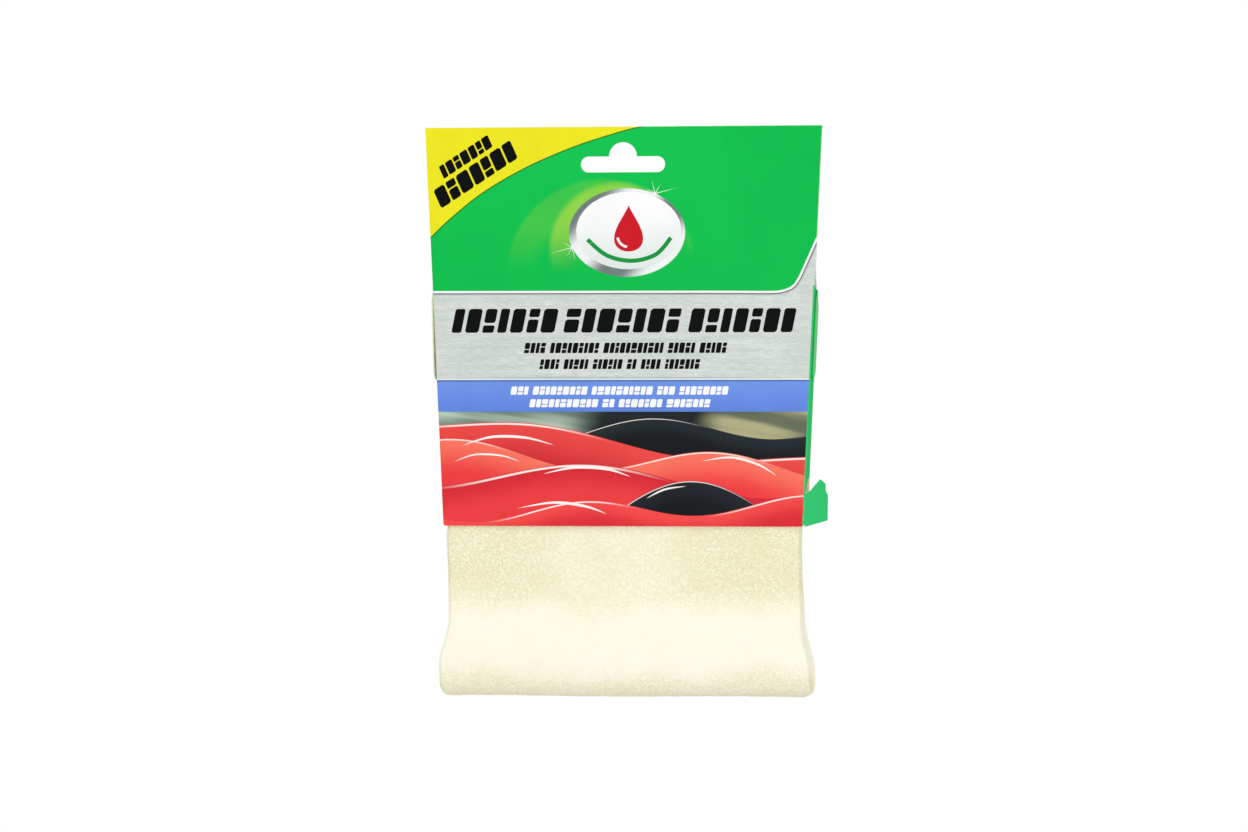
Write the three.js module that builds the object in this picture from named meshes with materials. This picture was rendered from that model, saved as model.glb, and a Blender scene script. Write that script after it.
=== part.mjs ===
// A folded chamois leather in its printed card hanging sleeve.
// Millimetres. X runs to the right, Y to the back, Z up. The origin is the place where the sleeve
// bears on its peg: the top of the hang slot, half way through the double header.
import * as THREE from 'three';

const { lerp, smoothstep, degToRad } = THREE.MathUtils;

// Card board and glue
const boardThickness = 0.5;
const glueThickness = 0.2;
const glueInset = 1.2;

// Outline of the front, seen square on
const topWidth = 150.4;
const mouthWidth = 136.5;
const headerRise = 5.9;
const sleeveDrop = 144.1;
const frontCornerRadius = 1.5;

// Hang slot, a straight band with a round hump over its middle
const slotWidth = 32;
const slotBandHeight = 6;
const slotHumpRadius = 5.3;
const slotGlueMargin = 2;

// Sleeve behind the front
const sleeveDepth = 13;
const shoulderStartDrop = 48;
const shoulderHeight = 14;
const gussetStartBelowShoulder = 6;
const glueFlapWidth = 11;
const glueFlapChamfer = 4;
const glueFlapStartBelowShoulder = 6;

// Flap of the back that lies outside each gusset
const sideFlapSetback = 2.2;
const sideFlapRise = 6.8;
const sideFlapDrop = 27;
const leftFlapSplay = degToRad(5);
const rightFlapSplay = 0;

// Lock tab at the foot of each side, hinged on the crease of the front
const lockTabHeight = 17.8;
const lockTabSetback = 3.1;
const lockTabGap = 0.3;
const leftTabFold = degToRad(90);
const rightTabFold = degToRad(35);

// Leather, folded in three across and then twice in half
const leatherShowing = 63.9;
const leatherTopBelowShoulder = 4;
const leatherClearance = 0.3;
const leatherSideClearance = 1.1;
const foldGap = 0.4;
const neckBelowMouth = 15.9;
const bulgeAboveFoot = 13;
const bulgeThickness = 24;
const bulgeBandThickness = 4.1;
const flareWidth = 3.5;
const flareStartAboveFoot = 30;
const flareEndAboveFoot = 10;

// Counts of layers and facets
const bandLayers = 4;
const arcSteps = 8;
const foldSteps = 12;
const legSteps = 8;
const edgeSteps = 4;

// Places worked out from the sizes above
const frontY = -boardThickness - glueThickness / 2;
const frontInnerY = frontY + boardThickness;
const backY = frontY + sleeveDepth;
const backInnerY = backY - boardThickness;
const glueFlapY = backInnerY - glueThickness - boardThickness;
const foldRadius = boardThickness + glueThickness / 2;
const foldCentreZ = headerRise - foldRadius;
const shoulderEndDrop = shoulderStartDrop + shoulderHeight;
const gussetEndDrop = sleeveDrop - lockTabHeight - lockTabGap;
const sideFlapReach = sleeveDepth - sideFlapSetback;
const lockTabWidth = sleeveDepth - lockTabSetback;

function halfWidthAt(z) {
  const share = (headerRise - z) / (headerRise + sleeveDrop);
  return lerp(topWidth, mouthWidth, share) / 2;
}

function finish(color, roughness) {
  return new THREE.MeshStandardMaterial({ color, roughness, metalness: 0 });
}

function part(name, geometry, material) {
  const mesh = new THREE.Mesh(geometry, material);
  mesh.name = name;
  return mesh;
}

function printedBoard(name, geometry) {
  return part(name, geometry, finish(0x14bd4c, 0.35));
}

function glue(name, geometry) {
  return part(name, geometry, finish(0xd9d2b4, 0.5));
}

// Moves every corner of a geometry to the place that the function gives for it.
function remap(geometry, place) {
  const corners = geometry.getAttribute('position');
  const corner = new THREE.Vector3();
  for (let i = 0; i < corners.count; i++) {
    corner.fromBufferAttribute(corners, i);
    const moved = place(corner);
    corners.setXYZ(i, moved.x, moved.y, moved.z);
  }
  geometry.computeVertexNormals();
  return geometry;
}

function extruded(shape, depth) {
  return new THREE.ExtrudeGeometry(shape, { depth, bevelEnabled: false, curveSegments: arcSteps });
}

// A plate that faces the front: the shape is drawn in X and Z, and its near face is at nearY.
function facingPlate(shape, nearY, thickness) {
  const farY = nearY + thickness;
  return remap(extruded(shape, thickness), (c) => new THREE.Vector3(c.x, farY - c.z, c.y));
}

// A bar from one side edge to the other: the shape is its section in Y and Z.
function crossBar(shape) {
  return remap(extruded(shape, 1), (c) => new THREE.Vector3((2 * c.z - 1) * halfWidthAt(c.y), c.x, c.y));
}

// A plate along the right edge: the shape is drawn in Y and Z, and the plate lies within the edge
// where outside is 0, or against it from outside where outside is 1. It leans out by splay from the
// back crease on.
function edgePlate(shape, outside, splay) {
  return remap(extruded(shape, boardThickness), (c) => {
    const lean = Math.tan(splay) * (backY - c.x);
    const inner = halfWidthAt(c.y) + (outside - 1) * boardThickness;
    return new THREE.Vector3(inner + c.z + lean, c.x, c.y);
  });
}

function outline(points) {
  return new THREE.Shape(points.map(([across, up]) => new THREE.Vector2(across, up)));
}

// Both sides of the card between two heights, drawn in from the edges by inset.
function cardOutline(topZ, bottomZ, inset) {
  return outline([
    [-halfWidthAt(bottomZ) + inset, bottomZ],
    [halfWidthAt(bottomZ) - inset, bottomZ],
    [halfWidthAt(topZ) - inset, topZ],
    [-halfWidthAt(topZ) + inset, topZ],
  ]);
}

// The front has its two lower corners rounded.
function frontOutline() {
  const r = frontCornerRadius;
  const foot = halfWidthAt(-sleeveDrop);
  const side = halfWidthAt(-sleeveDrop + r);
  const shape = new THREE.Shape();
  shape.moveTo(-foot + r, -sleeveDrop);
  shape.lineTo(foot - r, -sleeveDrop);
  shape.quadraticCurveTo(foot, -sleeveDrop, side, -sleeveDrop + r);
  shape.lineTo(halfWidthAt(foldCentreZ), foldCentreZ);
  shape.lineTo(-halfWidthAt(foldCentreZ), foldCentreZ);
  shape.lineTo(-side, -sleeveDrop + r);
  shape.quadraticCurveTo(-foot, -sleeveDrop, -foot + r, -sleeveDrop);
  return shape;
}

// The hang slot, grown by margin all round. Its hump touches height zero where the margin is 0.
function slotHole(margin) {
  const endRadius = slotBandHeight / 2 + margin;
  const endX = slotWidth / 2 - slotBandHeight / 2;
  const middleZ = -slotHumpRadius - slotBandHeight / 2;
  const humpRadius = slotHumpRadius + margin;
  const humpStart = Math.asin(margin / humpRadius);
  const hole = new THREE.Path();
  hole.moveTo(-endX, middleZ - endRadius);
  hole.absarc(endX, middleZ, endRadius, -Math.PI / 2, Math.PI / 2, false);
  hole.absarc(0, -slotHumpRadius, humpRadius, humpStart, Math.PI - humpStart, false);
  hole.absarc(-endX, middleZ, endRadius, Math.PI / 2, (3 * Math.PI) / 2, false);
  return hole;
}

function withSlot(shape, margin) {
  shape.holes.push(slotHole(margin));
  return shape;
}

// Front, header and back of the card
function frontPanel() {
  return printedBoard('front_panel', facingPlate(withSlot(frontOutline(), 0), frontY, boardThickness));
}

function topFold() {
  const section = new THREE.Shape();
  section.absarc(0, foldCentreZ, foldRadius, 0, Math.PI, false);
  section.absarc(0, foldCentreZ, glueThickness / 2, Math.PI, 0, true);
  return printedBoard('top_fold', crossBar(section));
}

function backHeaderPanel() {
  const shape = withSlot(cardOutline(foldCentreZ, -shoulderStartDrop, 0), 0);
  return printedBoard('back_header_panel', facingPlate(shape, glueThickness / 2, boardThickness));
}

function headerGlue() {
  const shape = cardOutline(foldCentreZ - glueInset, -shoulderStartDrop + glueInset, glueInset);
  return glue('header_glue', facingPlate(withSlot(shape, slotGlueMargin), -glueThickness / 2, glueThickness));
}

// How far the inner line of a bend in the board lies below its outer line
function bendShift() {
  const bend = Math.atan2(backY - foldRadius, shoulderEndDrop - shoulderStartDrop);
  return boardThickness * Math.tan(bend / 2);
}

function backShoulderPanel() {
  const shift = bendShift();
  const section = outline([
    [foldRadius, -shoulderStartDrop],
    [glueThickness / 2, -shoulderStartDrop],
    [glueThickness / 2, -shoulderStartDrop - shift],
    [backInnerY, -shoulderEndDrop - shift],
    [backY, -shoulderEndDrop - shift],
    [backY, -shoulderEndDrop],
  ]);
  return printedBoard('back_shoulder_panel', crossBar(section));
}

function backPanel() {
  const shape = cardOutline(-shoulderEndDrop - bendShift(), -sleeveDrop, 0);
  return printedBoard('back_panel', facingPlate(shape, backInnerY, boardThickness));
}

// Sides of the sleeve, made for the right and mirrored for the left
function gusset(side) {
  const shape = outline([
    [frontInnerY, -shoulderStartDrop - gussetStartBelowShoulder],
    [frontInnerY, -gussetEndDrop],
    [glueFlapY, -gussetEndDrop],
    [glueFlapY, -shoulderEndDrop - boardThickness],
  ]);
  return printedBoard(side + '_gusset', edgePlate(shape, 0, 0));
}

// The strip along the back crease that the glue flap and its glue share
function seamOutline(inset) {
  const top = -shoulderEndDrop - glueFlapStartBelowShoulder - inset;
  const bottom = -gussetEndDrop + inset;
  const chamfer = glueFlapChamfer;
  const width = glueFlapWidth - inset;
  return outline([
    [halfWidthAt(bottom) - inset, bottom],
    [halfWidthAt(top) - inset, top],
    [halfWidthAt(top - chamfer) - width, top - chamfer],
    [halfWidthAt(bottom + chamfer) - width, bottom + chamfer],
  ]);
}

function glueFlap(side) {
  return printedBoard(side + '_glue_flap', facingPlate(seamOutline(0), glueFlapY, boardThickness));
}

function seamGlue(side) {
  const nearY = backInnerY - glueThickness;
  return glue(side + '_seam_glue', facingPlate(seamOutline(glueInset), nearY, glueThickness));
}

// Reach from the back crease and height, as shares of the flap's reach and of its rise or drop
const sideFlapTopShares = { crease: [0, 0], peak: [0.63, 1], front: [1, 0.45] };
const sideFlapFootShares = { front: [1, 0.8], corner: [1, 1], middle: [0.55, 1], crease: [0, 0.87] };

function sideFlap(side, splay) {
  const creaseZ = -shoulderEndDrop - bendShift();
  const above = ([reach, rise]) => [backY - reach * sideFlapReach, creaseZ + rise * sideFlapRise];
  const below = ([reach, drop]) => [backY - reach * sideFlapReach, creaseZ - drop * sideFlapDrop];
  const shape = new THREE.Shape();
  shape.moveTo(...above(sideFlapTopShares.crease));
  shape.lineTo(...above(sideFlapTopShares.peak));
  shape.lineTo(...above(sideFlapTopShares.front));
  shape.lineTo(...below(sideFlapFootShares.front));
  shape.quadraticCurveTo(...below(sideFlapFootShares.corner), ...below(sideFlapFootShares.middle));
  shape.lineTo(...below(sideFlapFootShares.crease));
  return printedBoard(side + '_side_flap', edgePlate(shape, 1, splay));
}

// Distance from the crease and drop from the tab's top, as shares of its width and height
const lockTabShares = [
  [0, 1],
  [0, 0.28],
  [0.15, 0.25],
  [0.58, 0],
  [0.83, 0.1],
  [0.86, 0.27],
  [0.96, 0.33],
  [1, 0.87],
];

// The tab turns on the inner corner of its crease. A fold of 0 continues the front, and a quarter
// turn closes the side.
function lockTab(side, fold) {
  const topZ = -gussetEndDrop - lockTabGap;
  const start = boardThickness + lockTabGap;
  const shape = outline(
    lockTabShares.map(([out, down]) => [start + out * lockTabWidth, topZ - down * lockTabHeight]),
  );
  const geometry = remap(extruded(shape, boardThickness), (c) => {
    const pivotX = halfWidthAt(c.y) - boardThickness;
    const x = pivotX + c.x * Math.cos(fold) + c.z * Math.sin(fold);
    const y = frontInnerY + c.x * Math.sin(fold) - c.z * Math.cos(fold);
    return new THREE.Vector3(x, y, c.y);
  });
  return printedBoard(side + '_lock_tab', geometry);
}

function sidePieces(side, flapSplay, tabFold) {
  const group = new THREE.Group();
  group.scale.x = side === 'right' ? 1 : -1;
  group.add(gusset(side), glueFlap(side), seamGlue(side));
  group.add(sideFlap(side, flapSplay), lockTab(side, tabFold));
  return group;
}

// Folded leather. One band, as thick as three plies, runs down the back, round the foot, up the
// front, over, down again inside, round the inner foot and up. It is tight in the sleeve and
// swells below the sleeve's mouth.
const packThickness = glueFlapY - frontInnerY - 2 * leatherClearance;
const packCentreY = (glueFlapY + frontInnerY) / 2;
const tightBandThickness = (packThickness - (bandLayers - 1) * foldGap) / bandLayers;
const leatherTopZ = -shoulderEndDrop - leatherTopBelowShoulder;
const leatherFootZ = -sleeveDrop - leatherShowing;
const neckZ = -sleeveDrop - neckBelowMouth;
const bulgeZ = leatherFootZ + bulgeAboveFoot;
const sleeveHalfWidth = Math.min(halfWidthAt(leatherTopZ), halfWidthAt(-sleeveDrop)) - boardThickness;
const leatherHalfWidth = sleeveHalfWidth - leatherSideClearance;

function swellAt(z) {
  return smoothstep(-z, -neckZ, -bulgeZ);
}

function bandThicknessAt(z) {
  return lerp(tightBandThickness, bulgeBandThickness, swellAt(z));
}

// Distance of a layer's middle from the pack's middle: layer 0 is the outer one, 1 the inner one.
function layerOffsetAt(z, layer) {
  const packHalf = lerp(packThickness, bulgeThickness, swellAt(z)) / 2;
  return packHalf - bandThicknessAt(z) / 2 - layer * (bandThicknessAt(z) + foldGap);
}

function leatherHalfWidthAt(z) {
  const aboveFoot = z - leatherFootZ;
  const flare = 1 - smoothstep(aboveFoot, flareEndAboveFoot, flareStartAboveFoot);
  return leatherHalfWidth + flareWidth * flare;
}

// Heights down one leg, close together only where the leg bends
function legHeights(topZ) {
  const heights = [topZ];
  for (let i = 0; i < legSteps; i++) {
    heights.push(lerp(neckZ, bulgeZ, i / legSteps));
  }
  return heights;
}

// Middle line of one layer from its back top down, round the foot and up the front
function layerLine(backTopZ, frontTopZ, layer) {
  const back = legHeights(backTopZ).map((z) => new THREE.Vector2(layerOffsetAt(z, layer), z));
  const front = legHeights(frontTopZ).map((z) => new THREE.Vector2(-layerOffsetAt(z, layer), z));
  const foot = [];
  const across = layerOffsetAt(bulgeZ, layer);
  const down = bulgeAboveFoot - bulgeBandThickness / 2 - layer * (bulgeBandThickness + foldGap);
  for (let i = 0; i <= foldSteps; i++) {
    const angle = (Math.PI * i) / foldSteps;
    foot.push(new THREE.Vector2(across * Math.cos(angle), bulgeZ - down * Math.sin(angle)));
  }
  return [...back, ...foot, ...front.reverse()];
}

function leatherLine() {
  const pitch = tightBandThickness + foldGap;
  const foldZ = leatherTopZ - (pitch + tightBandThickness) / 2;
  const outer = layerLine(leatherTopZ, foldZ, 0);
  const inner = layerLine(leatherTopZ, foldZ, 1).reverse();
  const foldY = -(layerOffsetAt(foldZ, 0) + layerOffsetAt(foldZ, 1)) / 2;
  const over = [];
  for (let i = 1; i < foldSteps; i++) {
    const angle = Math.PI - (Math.PI * i) / foldSteps;
    over.push(
      new THREE.Vector2(foldY + (pitch / 2) * Math.cos(angle), foldZ + (pitch / 2) * Math.sin(angle)),
    );
  }
  return [...outer, ...over, ...inner];
}

// Sweeps the band's section, flat with round side edges, along the middle line.
function leatherGeometry() {
  const line = leatherLine();
  const ring = 2 * (edgeSteps + 1);
  const corners = [];
  line.forEach((point, i) => {
    const before = line[Math.max(i - 1, 0)];
    const after = line[Math.min(i + 1, line.length - 1)];
    const along = after.clone().sub(before).normalize();
    const half = bandThicknessAt(point.y) / 2;
    const reach = leatherHalfWidthAt(point.y) - half;
    for (let k = 0; k < ring; k++) {
      const right = k <= edgeSteps;
      const step = right ? k : k - 1;
      const angle = -Math.PI / 2 + (Math.PI * step) / edgeSteps;
      const x = (right ? reach : -reach) + half * Math.cos(angle);
      const out = half * Math.sin(angle);
      corners.push(x, point.x - along.y * out, point.y + along.x * out);
    }
  });
  const faces = [];
  for (let i = 0; i < line.length - 1; i++) {
    for (let k = 0; k < ring; k++) {
      const a = i * ring + k;
      const b = i * ring + ((k + 1) % ring);
      faces.push(a, a + ring, b, b, a + ring, b + ring);
    }
  }
  const last = (line.length - 1) * ring;
  for (let k = 1; k < ring - 1; k++) {
    faces.push(0, k, k + 1, last, last + k + 1, last + k);
  }
  const geometry = new THREE.BufferGeometry();
  geometry.setAttribute('position', new THREE.Float32BufferAttribute(corners, 3));
  geometry.setIndex(faces);
  geometry.computeVertexNormals();
  return geometry;
}

function chamoisLeather() {
  const mesh = part('chamois_leather', leatherGeometry(), finish(0xf3eed2, 0.95));
  mesh.position.y = packCentreY;
  return mesh;
}

const pack = new THREE.Group();
pack.add(frontPanel(), topFold(), headerGlue(), backHeaderPanel(), backShoulderPanel(), backPanel());
pack.add(sidePieces('left', leftFlapSplay, leftTabFold));
pack.add(sidePieces('right', rightFlapSplay, rightTabFold));
pack.add(chamoisLeather());

export default pack;
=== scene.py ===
import math

import bmesh
import bpy
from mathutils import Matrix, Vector, geometry, noise


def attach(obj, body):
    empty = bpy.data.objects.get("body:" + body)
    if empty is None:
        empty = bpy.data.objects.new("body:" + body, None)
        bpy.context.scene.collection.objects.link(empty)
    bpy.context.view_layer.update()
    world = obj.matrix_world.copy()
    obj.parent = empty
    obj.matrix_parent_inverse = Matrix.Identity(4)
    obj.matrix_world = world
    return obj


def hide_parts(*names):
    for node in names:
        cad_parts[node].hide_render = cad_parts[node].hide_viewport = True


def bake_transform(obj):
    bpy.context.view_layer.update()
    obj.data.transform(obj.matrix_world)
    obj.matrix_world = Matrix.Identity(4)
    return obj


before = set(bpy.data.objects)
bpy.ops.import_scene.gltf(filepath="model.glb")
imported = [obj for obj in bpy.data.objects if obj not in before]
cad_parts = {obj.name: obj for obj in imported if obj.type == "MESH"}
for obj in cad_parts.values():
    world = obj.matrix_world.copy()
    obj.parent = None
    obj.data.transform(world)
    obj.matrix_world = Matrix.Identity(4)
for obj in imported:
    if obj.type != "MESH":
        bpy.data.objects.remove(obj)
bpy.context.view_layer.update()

# A folded chamois leather in its printed card hanging sleeve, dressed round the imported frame.
# Lengths in the dictionaries are in millimetres, but for the studio's; meshes are made in metres.
mm = 0.001
print("frame loaded")


# Small helpers

def lerp(start, end, share):
    return start + (end - start) * share


def spread(start, end, count):
    return [lerp(start, end, k / count) for k in range(count + 1)]


def smooth(low, high, value):
    share = min(max((value - low) / (high - low), 0.0), 1.0)
    return share * share * (3 - 2 * share)


def waveAt(x, z, seed):
    return noise.noise(Vector((x, z, seed)))


def ink(colour):
    # a colour as it is read off a print, 0 to 255, made linear
    def linear(share):
        return share / 12.92 if share <= 0.04045 else ((share + 0.055) / 1.055) ** 2.4
    return (*[linear(value / 255) for value in colour], 1.0)


def addObject(name, data):
    thing = bpy.data.objects.new(name, data)
    bpy.context.scene.collection.objects.link(thing)
    return thing


# Shader sums. A field is an output that varies over the surface, and it adds and multiplies like a number.

class Field:
    def __init__(self, socket):
        self.socket = socket

    def __add__(self, other):
        return compute("ADD", self, other)

    def __sub__(self, other):
        return compute("SUBTRACT", self, other)

    def __rsub__(self, other):
        return compute("SUBTRACT", other, self)

    def __mul__(self, other):
        return compute("MULTIPLY", self, other)

    def __truediv__(self, other):
        return compute("DIVIDE", self, other)

    def __rtruediv__(self, other):
        return compute("DIVIDE", other, self)

    def __abs__(self):
        return compute("ABSOLUTE", self)


def feed(socket, value):
    if isinstance(value, Field):
        socket.id_data.links.new(value.socket, socket)
    else:
        socket.default_value = value


def addNode(tree, kind, inputs=(), **settings):
    # inputs are given in their order, or by name or number
    node = tree.nodes.new("ShaderNode" + kind)
    for name, value in settings.items():
        setattr(node, name, value)
    for key, value in inputs.items() if isinstance(inputs, dict) else enumerate(inputs):
        feed(node.inputs[key], value)
    return node


def fieldFrom(kind, inputs, output=0, **settings):
    # a node beside the first field that feeds it
    values = inputs.values() if isinstance(inputs, dict) else inputs
    tree = next(value for value in values if isinstance(value, Field)).socket.id_data
    return Field(addNode(tree, kind, inputs, **settings).outputs[output])


def compute(operation, *values, clamp=False):
    return fieldFrom("Math", values, operation=operation, use_clamp=clamp)


def least(first, second):
    return compute("MINIMUM", first, second)


def greatest(first, second):
    return compute("MAXIMUM", first, second)


def sine(angle):
    return compute("SINE", angle)


def mixColour(share, first, second):
    return fieldFrom("Mix", {0: share, 6: first, 7: second}, output=2, data_type="RGBA")


def ramped(value, low, high, start=0.0, end=1.0):
    return fieldFrom("MapRange", (value, low, high, start, end), interpolation_type="SMOOTHSTEP")


def stretched(vector, x, y, z):
    return fieldFrom("VectorMath", (vector, (x, y, z)), operation="MULTIPLY")


def noiseOver(vector, scale, detail=2.0, roughness=0.5, distortion=0.0):
    return fieldFrom("TexNoise", {"Vector": vector, "Scale": scale, "Detail": detail,
                                  "Roughness": roughness, "Distortion": distortion})


def placeInMm(tree):
    return stretched(Field(addNode(tree, "TexCoord").outputs["Object"]), *[1 / mm] * 3)


def split(vector):
    node = addNode(vector.socket.id_data, "SeparateXYZ", (vector,))
    return [Field(socket) for socket in node.outputs]


def newGroup(name, effect, inputs):
    # the effect takes the place on the object and the group's inputs, and gives the group's outputs
    tree = bpy.data.node_groups.new(name, "ShaderNodeTree")
    for label, value in inputs.items():
        socket = tree.interface.new_socket(label, in_out="INPUT", socket_type="NodeSocketFloat")
        socket.default_value = value
    given = tree.nodes.new("NodeGroupInput").outputs
    results = effect(placeInMm(tree), {label: Field(given[label]) for label in inputs})
    for label in results:
        tree.interface.new_socket(label, in_out="OUTPUT", socket_type="NodeSocketFloat")
    output = tree.nodes.new("NodeGroupOutput")
    for label, field in results.items():
        feed(output.inputs[label], field)
    return tree


def useGroup(tree, group, values=()):
    node = addNode(tree, "Group", values, node_tree=group)
    return {socket.name: Field(socket) for socket in node.outputs}


def emptyMaterial(name):
    material = bpy.data.materials.new(name)
    material.use_nodes = True
    material.node_tree.nodes.clear()
    return material


# The card: where each point of the flat blank lies once it is folded

card = {
    "boardThickness": 0.5,
    "glueThickness": 0.2,
    "glueInset": 1.2,
    "topWidth": 150.4,
    "mouthWidth": 136.5,
    "headerRise": 5.9,
    "sleeveDrop": 144.1,
    "sleeveDepth": 13.0,
    "cornerRadius": 1.5,
    "shoulderStart": 48.0,
    "shoulderHeight": 14.0,
    "shoulderRadius": 2.0,
    "backRadius": 1.2,
    "creaseRadius": 0.7,
    "creaseSteps": 6,
    "gussetTop": -54.0,
    "gussetBackTop": -62.5,
    "gussetFoot": -126.0,
    "gussetFrontFoot": -130.95,
    "gussetStep": (2.6, -130.3, 6.75),
    "glueFlapWidth": 11.0,
    "glueFlapTop": -68.0,
    "glueFlapChamfer": 4.0,
    "slotHalfBand": 13.0,
    "slotEndRadius": 3.0,
    "slotHumpRadius": 5.3,
    "gridStep": 3.5,
    "roundTop": (-51.0, -53.9),  # over these heights the side edges turn from cut to creased
    "roundFoot": (-131.5, -131.0),
    "bulge": 0.8,
    "bulgeTop": (-52, -96),
    "bulgeFromEdge": (12, 40),
    "bulgeWaves": (38, 46),
    "bow": 0.45,
    "bowLength": 48,
    "bowHeights": (-46, -22),
    "bowWaves": (55, 70),
    "waves": 0.12,
}
flaps = {
    "creaseTop": -62.6,
    "creaseFoot": -85.7,
    "peak": (6.8, -55.4),
    "frontTop": (10.8, -59.1),
    "frontFoot": (10.8, -83.8),
    "foot": (5.9, -89.2),
    "roundTop": (-60.5, -62.5),
    "roundFoot": (-88.5, -85.8),
    "leftLean": math.tan(math.radians(5)),
    "leftLeanShare": (0.5, 1.1),  # it stands off more towards its foot
    "leanHeights": (-60, -86),
    "rightLean": 0.006,
    "takeOver": 0.9,
    "pivotZ": -75.0,
    "blendReach": (0.0, 0.9),  # before and past the pivot
}
tabs = {
    "topZ": -126.3,
    "creaseTopZ": -131.3,
    "creaseFootZ": -142.6,
    "footZ": -143.95,
    "height": 17.8,
    "outline": [(0.8, 1), (10.7, 0.87), (10.3, 0.33), (9.35, 0.27), (9.0, 0.1), (6.54, 0), (2.3, 0.25),
                (0.8, 0.28)],
    "curl": 0.006,
    "takeOver": 0.9,
    "pivotZ": -135.0,
    "blendReach": (0.15, 0.7),
    "leftFold": math.radians(90),
    "rightFold": math.radians(35),
}
board = card["boardThickness"]
creaseRadius = card["creaseRadius"]
creaseArc = creaseRadius * math.pi / 2
frontY = -board - card["glueThickness"] / 2
backY = frontY + card["sleeveDepth"]
foldRadius = board + card["glueThickness"] / 2
foldCentreZ = card["headerRise"] - foldRadius
mouthZ = -card["sleeveDrop"]
gussetDepth = card["sleeveDepth"] - board - card["glueThickness"]
shoulderBend = math.atan2(backY - foldRadius, card["shoulderHeight"])
sideSlope = (card["topWidth"] - card["mouthWidth"]) / 2 / (card["headerRise"] + card["sleeveDrop"])


def halfWidthAt(z):
    share = (card["headerRise"] - z) / (card["headerRise"] + card["sleeveDrop"])
    return lerp(card["topWidth"], card["mouthWidth"], share) / 2


# The blank runs up the front, over the top, down the header, out along the shoulder and down the
# back. Each stretch has its length and the angle that it turns through.
def stripStretches():
    innerBend = card["shoulderRadius"] * math.tan(shoulderBend / 2)
    outerBend = card["backRadius"] * math.tan(shoulderBend / 2)
    slant = math.hypot(backY - foldRadius, card["shoulderHeight"])
    return [
        (foldCentreZ - mouthZ, 0.0),
        (math.pi * foldRadius, math.pi),
        (foldCentreZ + card["shoulderStart"] - innerBend, 0.0),
        (card["shoulderRadius"] * shoulderBend, -shoulderBend),
        (slant - innerBend - outerBend, 0.0),
        (card["backRadius"] * shoulderBend, shoulderBend),
        (card["sleeveDrop"] - card["shoulderStart"] - card["shoulderHeight"] - outerBend, 0.0),
    ]


stretches = stripStretches()
stretchStarts = [mouthZ + sum(length for length, turn in stretches[:i]) for i in range(len(stretches))]
headerStart = stretchStarts[2]
backStart = stretchStarts[-1]
stripEnd = backStart + stretches[-1][0]
backTopZ = mouthZ + stretches[-1][0]


def alongHeader(z):
    return headerStart + foldCentreZ - z


def alongBack(z):
    return backStart + backTopZ - z


def onStrip(along):
    # the place of the printed face in Y and Z, and the way it heads
    y, z, heading = frontY, mouthZ, 0.0
    left = along - mouthZ
    for length, turn in stretches:
        step = min(left, length)
        if turn:
            curve = turn / length
            y += (math.cos(heading) - math.cos(heading + curve * step)) / curve
            z += (math.sin(heading + curve * step) - math.sin(heading)) / curve
            heading += curve * step
        else:
            y += math.sin(heading) * step
            z += math.cos(heading) * step
        left -= step
        if left <= 0:
            break
    return y, z, heading


def roundEdge(across, edge, sideDepth):
    # sideways place, way back from the face, and turn of a slice that bends round an edge
    r, start = creaseRadius, edge - creaseRadius
    if across <= start:
        return across, 0.0, 0.0
    if across <= start + creaseArc:
        turn = (across - start) / r
        return start + r * math.sin(turn), r * (1 - math.cos(turn)), turn
    back = r + across - start - creaseArc
    if back <= sideDepth - r:
        return edge, back, math.pi / 2
    beyond = back - (sideDepth - r)
    if beyond <= creaseArc:
        turn = math.pi / 2 + beyond / r
        return start + r * math.sin(turn), sideDepth - r - r * math.cos(turn), turn
    return start - (beyond - creaseArc), sideDepth, math.pi


def atEdge(z, out=0.0):
    # a point of the flat blank beside its side edge
    return halfWidthAt(z) + out, z


def onSide(back, z, up=0.0, out=0.0):
    # a point of the flat blank that lies on the side, this far back from the face, once it is folded
    return halfWidthAt(z) + out - 2 * creaseRadius + creaseArc + back, z + up


def bulgeAt(x, z):
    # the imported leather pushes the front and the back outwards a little
    wide, tall = card["bulgeWaves"]
    inside = smooth(*card["bulgeFromEdge"], halfWidthAt(z) - abs(x)) * smooth(*card["bulgeTop"], z)
    return inside * (card["bulge"] + card["waves"] * waveAt(x / wide, z / tall, 4.2))


def bowAt(x, z):
    # both layers of the header bend together
    wide, tall = card["bowWaves"]
    bow = card["bow"] * math.cos(x / card["bowLength"] + 0.5)
    return smooth(*card["bowHeights"], z) * (bow + 2 * card["waves"] * waveAt(x / wide, z / tall, 9.1))


def placeCard(across, along, depth):
    side = 1 if across >= 0 else -1
    reach = abs(across)
    if along <= foldCentreZ:
        z = along
        edge = halfWidthAt(z)
        x, back, turn = roundEdge(reach, edge, gussetDepth)
        if reach <= edge:
            share = smooth(*card["roundTop"], z) * smooth(*card["roundFoot"], z)
            x, back, turn = lerp(reach, x, share), back * share, turn * share
        x = side * (x - math.sin(turn) * depth)
        y = frontY + back + math.cos(turn) * depth
        return Vector((x, y - bulgeAt(x, z) + bowAt(x, z), z))
    y, z, heading = onStrip(along)
    if along >= backStart or reach > halfWidthAt(z) + 0.02:
        return placeBack(side, reach, backTopZ - (along - backStart), depth, False)
    y += math.cos(heading) * depth
    z -= math.sin(heading) * depth
    y += bowAt(across, z) + smooth(stretchStarts[4], backStart, along) * bulgeAt(across, z)
    return Vector((across, y, z))


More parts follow.
